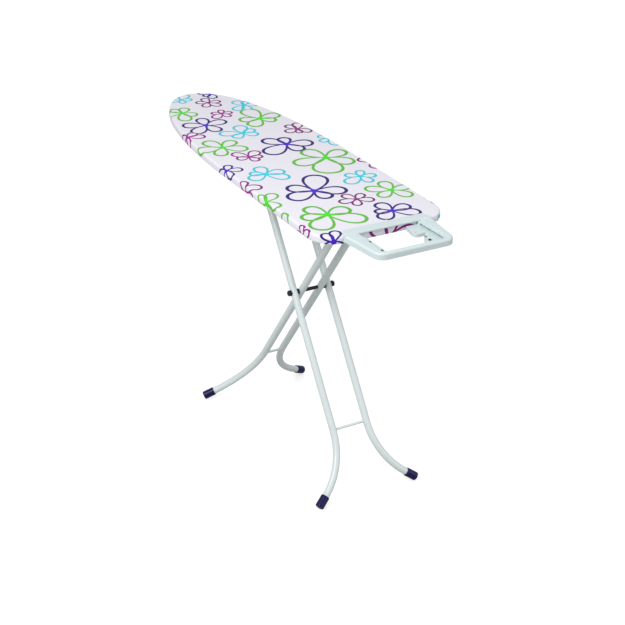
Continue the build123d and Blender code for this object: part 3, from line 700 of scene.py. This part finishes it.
def weave_group():
    """Plain weave: height of the crossing threads and a slight unevenness from thread to thread."""
    sockets = (("Place", "Vector"), ("Thread", "Float"))
    wires, entry, put_out = new_group("plain weave", sockets, ("Height", "Uneven"))
    threads = wires.vector("DIVIDE", entry["Place"], wires.node(
        "ShaderNodeCombineXYZ", {0: entry["Thread"], 1: entry["Thread"], 2: 1.0}).outputs[0])
    ways = wires.node("ShaderNodeSeparateXYZ", {0: threads}).outputs
    waves = [wires.math("SINE", wires.math("MULTIPLY", ways[axis], math.pi)) for axis in ("X", "Y")]
    over = wires.math("MULTIPLY", waves[0], waves[1])
    put_out("Height", wires.math("MULTIPLY_ADD", over, 0.5, 0.5))
    slubs = [wires.noise(wires.vector("MULTIPLY", threads, stretch), 1.0, 1.0)
             for stretch in ((0.03, 0.6, 1), (0.6, 0.03, 1))]
    put_out("Uneven", wires.math("MULTIPLY", wires.math("ADD", *slubs), 0.5))


def skin_group():
    """Powder coat's fine orange peel, with a slow drift in gloss."""
    wires, entry, put_out = new_group("powder skin", GRAIN_SOCKETS, ("Height", "Drift"))
    put_out("Height", wires.noise(entry["Place"], entry["Grain"], 3.0))
    put_out("Drift", wires.noise(entry["Place"], 9.0, 2.0))


def grain_group():
    """Moulded plastic's spark-eroded grain."""
    wires, entry, put_out = new_group("moulded grain", GRAIN_SOCKETS, ("Height", "Drift"))
    values = {"Vector": entry["Place"], "Scale": entry["Grain"]}
    pits = wires.node("ShaderNodeTexVoronoi", values, feature="SMOOTH_F1").outputs["Distance"]
    put_out("Height", wires.math("MULTIPLY_ADD", wires.noise(entry["Place"], 2600.0, 2.0), 0.5, pits))
    put_out("Drift", wires.noise(entry["Place"], 14.0, 3.0))


def scuff_group():
    """Rub marks that gather between two heights, such as near the floor."""
    sockets = (("Place", "Vector"), ("Low", "Float"), ("High", "Float"))
    wires, entry, put_out = new_group("scuffs", sockets, ("Mask",))
    height = wires.node("ShaderNodeSeparateXYZ", {0: entry["Place"]}).outputs["Z"]
    near = wires.smooth(height, entry["Low"], entry["High"], 1.0, 0.0)
    streaks = wires.noise(wires.vector("MULTIPLY", entry["Place"], (1, 1, 0.25)), 420.0, 6.0)
    put_out("Mask", wires.math("MULTIPLY", near, wires.smooth(streaks, 0.5, 0.72)))


def bloom_group():
    """Zinc plate's cloudy bloom and rolling marks."""
    wires, entry, put_out = new_group("zinc bloom", (("Place", "Vector"),), ("Bloom", "Rolling"))
    put_out("Bloom", wires.noise(entry["Place"], 160.0, 4.0))
    put_out("Rolling", wires.noise(wires.vector("MULTIPLY", entry["Place"], (60, 900, 900)), 1.0, 2.0))


GROUPS = (petal_group, flower_group, weave_group, skin_group, grain_group, scuff_group, bloom_group)


# ---- materials ----
WHITE = (1, 1, 1, 1)
WORN_PAINT = (0.30, 0.31, 0.32, 1)
FLECK = (0.30, 0.30, 0.34, 1)


def new_material(name, base, **sockets):
    """A material with a Principled shader: returns the material, its wiring and the shader."""
    material = bpy.data.materials.new(name)
    material.use_nodes = True
    wires = Wiring(material.node_tree)
    shader = material.node_tree.nodes["Principled BSDF"]
    shader.inputs["Base Color"].default_value = (*base, 1)
    for label, value in sockets.items():
        shader.inputs[label.replace("_", " ")].default_value = value
    return material, wires, shader.inputs


def tinted(wires, base, share, amount):
    """A base colour that lightens and darkens with a share by an amount."""
    low = tuple(c * (1 - amount) for c in base) + (1,)
    high = tuple(min(c * (1 + amount), 1) for c in base) + (1,)
    return wires.mix(share, low, high)


def cloth_material(settings):
    """Plain-weave cotton with the line-drawn flower print."""
    material, wires, shader = new_material("printed_cloth", settings.ground, Specular_IOR_Level=0.25,
                                           Sheen_Weight=0.08, Sheen_Roughness=0.5)
    place = wires.attribute("cloth")
    petals = {f"Petal_{n + 1}": wires.attribute(f"petal_{n + 1}") for n in range(PETALS)}
    flower = wires.group("printed flower", Place=place, Flower=wires.attribute("flower"), **petals)
    weave = wires.group("plain weave", Place=place, Thread=settings.thread)
    ink = wires.mix(flower["Heart"], wires.attribute("tint", "Color"), wires.attribute("heart", "Color"))
    ground = tinted(wires, settings.ground, weave["Uneven"], 0.035)
    wires.feed(wires.mix(flower["Mask"], ground, ink), shader["Base Color"])
    wires.feed(wires.math("MULTIPLY_ADD", weave["Uneven"], 0.12, 0.74), shader["Roughness"])
    creases = wires.noise(place, 26.0, 3.0)
    height = wires.math("MULTIPLY_ADD", creases, 2.2, weave["Height"])
    wires.feed(wires.bump(height, 0.12 * MM, 0.6), shader["Normal"])
    return material


def reverse_material(settings):
    """The cover's unprinted side and its hem's turned edge."""
    material, wires, shader = new_material("cover_reverse", settings.reverse, Specular_IOR_Level=0.2)
    weave = wires.group("plain weave", Place=wires.attribute("cloth"), Thread=settings.thread)
    wires.feed(tinted(wires, settings.reverse, weave["Uneven"], 0.06), shader["Base Color"])
    wires.feed(wires.math("MULTIPLY_ADD", weave["Uneven"], 0.1, 0.8), shader["Roughness"])
    wires.feed(wires.bump(weave["Height"], 0.1 * MM), shader["Normal"])
    return material


def felt_material(settings):
    """Needled felt: tangled fibres and darker flecks."""
    material, wires, shader = new_material("pad_felt", settings.pad, Sheen_Weight=0.3,
                                           Specular_IOR_Level=0.1)
    place = wires.place()
    fibres = wires.noise(wires.vector("MULTIPLY", place, (1.0, 0.35, 1.0)), 900.0, 6.0)
    flecks = wires.smooth(wires.noise(place, 380.0, 4.0), 0.55, 0.7)
    felt = tinted(wires, settings.pad, fibres, 0.16)
    wires.feed(wires.mix(flecks, felt, FLECK), shader["Base Color"])
    wires.feed(wires.math("MULTIPLY_ADD", fibres, 0.1, 0.86), shader["Roughness"])
    wires.feed(wires.bump(fibres, 0.4 * MM), shader["Normal"])
    return material


def coated_metal(name, base, gloss, grain):
    """Powder coat or paint over steel."""
    material, wires, shader = new_material(name, base, Coat_Roughness=0.18, IOR=1.5)
    place = wires.place()
    skin = wires.group("powder skin", Place=place, Grain=grain)
    scuffs = wires.group("scuffs", Place=place, Low=12 * MM, High=70 * MM)
    paint = tinted(wires, base, skin["Drift"], 0.03)
    worn = wires.math("MULTIPLY", scuffs["Mask"], 0.25)
    wires.feed(wires.mix(worn, paint, WORN_PAINT), shader["Base Color"])
    wires.feed(wires.math("MULTIPLY_ADD", skin["Drift"], 0.14, gloss), shader["Roughness"])
    wires.feed(wires.math("MULTIPLY_ADD", skin["Drift"], -0.2, 0.42), shader["Coat Weight"])
    wires.feed(wires.bump(skin["Height"], 0.05 * MM, 0.7), shader["Normal"])
    return material


def moulded(name, base, gloss, grain, rubbed, shine=0.5):
    """Moulded plastic, with rub marks of a lighter colour near the floor."""
    material, wires, shader = new_material(name, base, IOR=1.49, Specular_IOR_Level=shine)
    place = wires.place()
    skin = wires.group("moulded grain", Place=place, Grain=grain)
    scuffs = wires.group("scuffs", Place=place, Low=1 * MM, High=20 * MM)
    share = wires.math("MULTIPLY", scuffs["Mask"], 0.5)
    plain = tinted(wires, base, skin["Drift"], 0.05)
    wires.feed(wires.mix(share, plain, (*rubbed, 1)), shader["Base Color"])
    rough = wires.math("MULTIPLY_ADD", skin["Drift"], 0.12, gloss)
    wires.feed(wires.math("ADD", rough, wires.math("MULTIPLY", share, 0.3)), shader["Roughness"])
    wires.feed(wires.bump(skin["Height"], 0.04 * MM, 0.6), shader["Normal"])
    return material


def plated(name, base):
    """Bright zinc plate with rolling marks and a cloudy bloom."""
    material, wires, shader = new_material(name, base, Metallic=1.0)
    bloom = wires.group("zinc bloom", Place=wires.place())
    wires.feed(tinted(wires, base, bloom["Bloom"], 0.14), shader["Base Color"])
    wires.feed(wires.math("MULTIPLY_ADD", bloom["Bloom"], 0.22, 0.24), shader["Roughness"])
    wires.feed(wires.bump(bloom["Rolling"], 0.03 * MM), shader["Normal"])
    return material


def make_finishes(settings):
    """Every finish, and each CAD piece painted with the finish of its slot."""
    finishes = {
        "white_powder_coat": coated_metal("powder_coat_finish", settings.tube, 0.26, 650.0),
        "panel_paint": coated_metal("panel_finish", settings.panel, 0.40, 900.0),
        "bracket_paint": coated_metal("bracket_finish", settings.bracket, 0.34, 800.0),
        "black_steel": coated_metal("screw_finish", settings.black, 0.36, 1200.0),
        "rest_plastic": moulded("rest_finish", settings.rest, 0.34, 1500.0, (0.80, 0.82, 0.82)),
        "navy_plastic": moulded("navy_finish", settings.caps, 0.24, 1300.0, (0.03, 0.03, 0.10), shine=0.3),
        "dark_plastic": moulded("dark_finish", settings.dark, 0.30, 1300.0, (0.10, 0.10, 0.12), shine=0.3),
        "natural_plastic": moulded("natural_finish", settings.natural, 0.36, 1300.0, (0.50, 0.50, 0.46)),
        "zinc_plate": plated("zinc_finish", settings.zinc),
    }
    for part in frame["record"]["subparts"]:
        finish = finishes.get(part["material_slot"])
        if finish:
            materials = frame["nodes"][part["node"]].data.materials
            materials.clear()
            materials.append(finish)


# ---- studio ----
AIM_RIGHT, AIM_DOWN = 6.2 * MM, 73.5 * MM   # the camera's target, from the middle of the axle
KEY_PLACE, KEY_SIZE = (1.2, -2.4, 3.2), 2.2
FILL_PLACE, FILL_SIZE = (2.8, 2.2, 1.8), 2.0
FLOOR_SIZE = 60


def make_camera(settings):
    """The camera, aimed a little below and beside the legs' pivot."""
    cos_e, sin_e = math.cos(settings.elevation), math.sin(settings.elevation)
    cos_a, sin_a = math.cos(settings.azimuth), math.sin(settings.azimuth)
    ahead = Vector((-cos_a * cos_e, sin_a * cos_e, -sin_e))
    right = Vector((sin_a, cos_a, 0))
    up = right.cross(ahead)
    target = (AXLE_LOW + AXLE_HIGH) / 2 + right * AIM_RIGHT - up * AIM_DOWN
    turn = Matrix.Rotation(settings.roll, 3, -ahead) @ Matrix((right, up, -ahead)).transposed()
    bpy.ops.object.camera_add(location=target - ahead * settings.distance, rotation=turn.to_euler())
    camera = bpy.context.object
    camera.name = "camera"
    camera.data.sensor_width = 36
    camera.data.lens = settings.lens
    camera.data.clip_start, camera.data.clip_end = 0.1, 100
    bpy.context.scene.camera = camera


def add_lamp(name, place, size, power):
    """A soft square lamp aimed at the pivot."""
    bpy.ops.object.light_add(type="AREA", location=place)
    lamp = bpy.context.object
    lamp.name = name
    lamp.data.shape = "SQUARE"
    lamp.data.size = size
    lamp.data.energy = power
    aim = (AXLE_LOW + AXLE_HIGH) / 2 - Vector(place)
    lamp.rotation_euler = aim.to_track_quat("-Z", "Y").to_euler()


def floor_material(settings):
    """Pale, slightly glossy floor that is clear from below."""
    material, wires, shader = new_material("studio_floor", settings.floor, Roughness=0.1,
                                           Specular_IOR_Level=1.0, Emission_Color=WHITE)
    seen = wires.node("ShaderNodeLightPath").outputs["Is Camera Ray"]
    wires.feed(wires.math("MULTIPLY", seen, settings.glow), shader["Emission Strength"])
    drift = wires.noise(wires.place(), 1.5, 2.0)
    wires.feed(tinted(wires, settings.floor, drift, 0.01), shader["Base Color"])
    tree = material.node_tree
    clear = wires.node("ShaderNodeBsdfTransparent")
    back = wires.node("ShaderNodeNewGeometry").outputs["Backfacing"]
    mixed = wires.node("ShaderNodeMixShader", {0: back})
    tree.links.new(tree.nodes["Principled BSDF"].outputs[0], mixed.inputs[1])
    tree.links.new(clear.outputs[0], mixed.inputs[2])
    tree.links.new(mixed.outputs[0], tree.nodes["Material Output"].inputs["Surface"])
    return material


def make_stage(settings):
    """Floor, white surroundings, two soft lamps and the camera."""
    deselect()
    bpy.ops.mesh.primitive_plane_add(size=FLOOR_SIZE)
    floor = named("floor")
    floor.data.materials.append(floor_material(settings))
    world = bpy.data.worlds.new("studio")
    world.use_nodes = True
    wires = Wiring(world.node_tree)
    seen = wires.node("ShaderNodeLightPath").outputs["Is Camera Ray"]
    strength = wires.node("ShaderNodeMapRange", {"Value": seen, "To Min": settings.sky, "To Max": 1.0})
    sky = world.node_tree.nodes["Background"].inputs
    sky["Color"].default_value = WHITE
    wires.feed(strength.outputs["Result"], sky["Strength"])
    bpy.context.scene.world = world
    add_lamp("key_lamp", KEY_PLACE, KEY_SIZE, settings.key)
    add_lamp("fill_lamp", FILL_PLACE, FILL_SIZE, settings.fill)
    bpy.context.scene.view_settings.view_transform = "Standard"
    make_camera(settings)


# ---- operators, panel and registration ----
class IRONING_OT_finishes(bpy.types.Operator):
    """Makes the shared effects and paints every CAD piece"""

    bl_idname = "ironing.finishes"
    bl_label = "Finishes"

    def execute(self, context):
        for group in GROUPS:
            group()
        make_finishes(context.scene.ironing_finish)
        return {"FINISHED"}


class IRONING_OT_pad(bpy.types.Operator):
    """Makes the felt pad"""

    bl_idname = "ironing.pad"
    bl_label = "Pad"

    def execute(self, context):
        make_pad()
        return {"FINISHED"}


class IRONING_OT_cover(bpy.types.Operator):
    """Makes the printed cover"""

    bl_idname = "ironing.cover"
    bl_label = "Cover"

    def execute(self, context):
        make_cover(context.scene.ironing_cover)
        return {"FINISHED"}


class IRONING_OT_mesh_top(bpy.types.Operator):
    """Makes the expanded-metal top"""

    bl_idname = "ironing.mesh_top"
    bl_label = "Mesh top"

    def execute(self, context):
        make_mesh_top(context.scene.ironing_mesh)
        return {"FINISHED"}


class IRONING_OT_stage(bpy.types.Operator):
    """Makes the floor, the lamps and the camera"""

    bl_idname = "ironing.stage"
    bl_label = "Stage"

    def execute(self, context):
        make_stage(context.scene.ironing_studio)
        return {"FINISHED"}


OPERATORS = (IRONING_OT_finishes, IRONING_OT_pad, IRONING_OT_cover, IRONING_OT_mesh_top, IRONING_OT_stage)


class IRONING_PT_panel(bpy.types.Panel):
    """Lists the steps that build the ironing board"""

    bl_idname = "IRONING_PT_panel"
    bl_label = "Ironing Board"
    bl_space_type = "VIEW_3D"
    bl_region_type = "UI"
    bl_category = "Ironing Board"

    def draw(self, context):
        for operator in OPERATORS:
            self.layout.operator(operator.bl_idname)


SETTINGS = {
    "ironing_cover": CoverSettings,
    "ironing_mesh": MeshTopSettings,
    "ironing_finish": FinishSettings,
    "ironing_studio": StudioSettings,
}


def register():
    for name, settings in SETTINGS.items():
        bpy.utils.register_class(settings)
        setattr(bpy.types.Scene, name, PointerProperty(type=settings))
    for part in (*OPERATORS, IRONING_PT_panel):
        bpy.utils.register_class(part)


def unregister():
    for part in (IRONING_PT_panel, *reversed(OPERATORS)):
        bpy.utils.unregister_class(part)
    for name, settings in SETTINGS.items():
        delattr(bpy.types.Scene, name)
        bpy.utils.unregister_class(settings)


def main():
    register()
    bpy.ops.ironing.finishes()
    bpy.ops.ironing.pad()
    bpy.ops.ironing.cover()
    bpy.ops.ironing.mesh_top()
    bpy.ops.ironing.stage()


if __name__ == "__main__":
    main()
